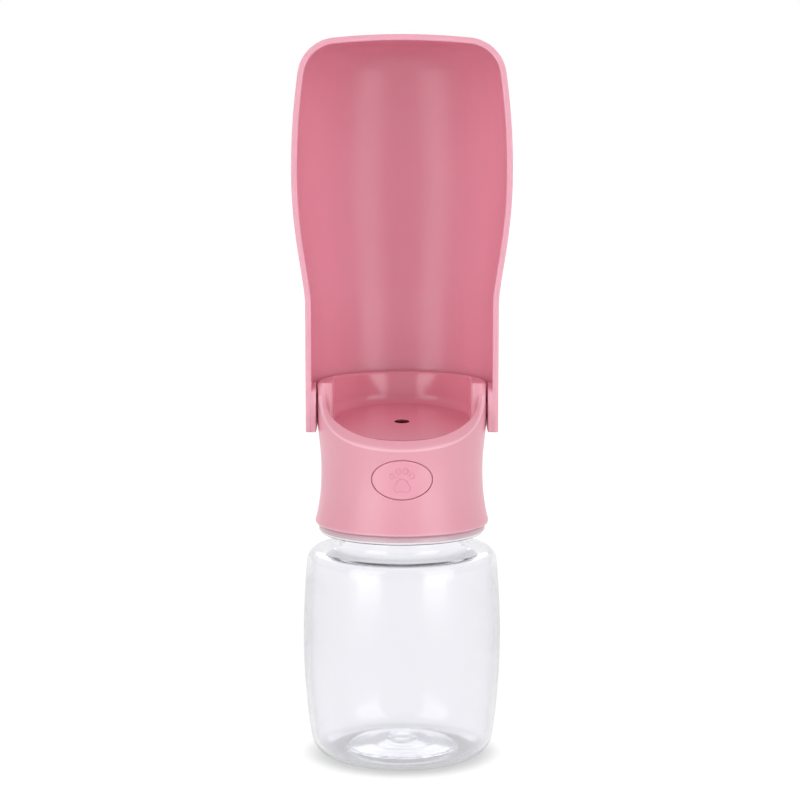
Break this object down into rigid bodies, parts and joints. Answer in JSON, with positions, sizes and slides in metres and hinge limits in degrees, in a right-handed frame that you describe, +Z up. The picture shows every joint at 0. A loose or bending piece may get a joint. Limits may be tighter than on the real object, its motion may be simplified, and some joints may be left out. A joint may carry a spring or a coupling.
{
  "type": "dog travel water bottle",
  "caption": "clear barrel-shaped water bottle with a pink push-button pouring head and a half-round drinking trough that hinges up from over the bottle",
  "frame": {"origin": "centre of the bottle's foot, on the surface that it stands on", "axes": "+Z up the bottle, -Y the side with the button and the bowl's lip, +X to the right seen from that side, along the trough's hinge"},
  "size_m": [0.0786, 0.0751, 0.2607],
  "materials": {
    "clear": "clear, glossy",
    "head_pink": "satin",
    "trough_pink": "satin",
    "white_plastic": "matte",
    "cap_plastic": "matte",
    "silicone": "soft, matte",
    "washer_rubber": "soft, matte",
    "steel": "bright"
  },
  "bodies": {
    "bottle": {"bottle_body": "clear"},
    "gasket": {"neck_gasket": "silicone"},
    "head": {"head_shell": "head_pink", "lock_collar": "clear", "valve_deck": "white_plastic", "valve_cover": "white_plastic", "stem_seal": "silicone", "outlet_tube": "silicone", "vent_valve": "silicone", "valve_spring": "steel", "button_spring": "steel", "button_plate": "white_plastic", "plate_screws": "steel", "hinge_washer_left": "washer_rubber", "hinge_washer_right": "washer_rubber"},
    "valve": {"valve_stem": "white_plastic", "valve_plug": "silicone", "stem_cap": "cap_plastic"},
    "button": {"push_button": "trough_pink"},
    "trough": {"drinking_trough": "trough_pink", "hinge_pin_left": "trough_pink", "hinge_pin_right": "trough_pink"}
  },
  "joints": [
    {"name": "cap_rise", "type": "slide", "parent": "bottle", "child": "gasket", "axis": [0, 0, 1], "range_m": [0, 0.00065]},
    {"name": "cap_turn", "type": "hinge", "parent": "gasket", "child": "head", "pos_m": [0, 0, 0.095], "axis": [0, 0, 1], "range_deg": [0, 90]},
    {"name": "trough_hinge", "type": "hinge", "parent": "head", "child": "trough", "pos_m": [0, 0, 0.128], "axis": [1, 0, 0], "range_deg": [0, 180]},
    {"name": "button_press", "type": "slide", "parent": "head", "child": "button", "axis": [0, 1, 0], "range_m": [0, 0.003], "stiffness_N_per_m": 500, "springref_m": -0.002, "deforming": ["button_spring"]},
    {"name": "valve_slide", "type": "slide", "parent": "head", "child": "valve", "axis": [0, 0, -1], "range_m": [0, 0.00225], "stiffness_N_per_m": 300, "springref_m": -0.002, "deforming": ["valve_spring"]}
  ],
  "couplings": [
    {"joint": "cap_rise", "follows": "cap_turn", "m_per_rad": 0.00038197},
    {"joint": "valve_slide", "follows": "button_press", "ratio": 0.75}
  ]
}
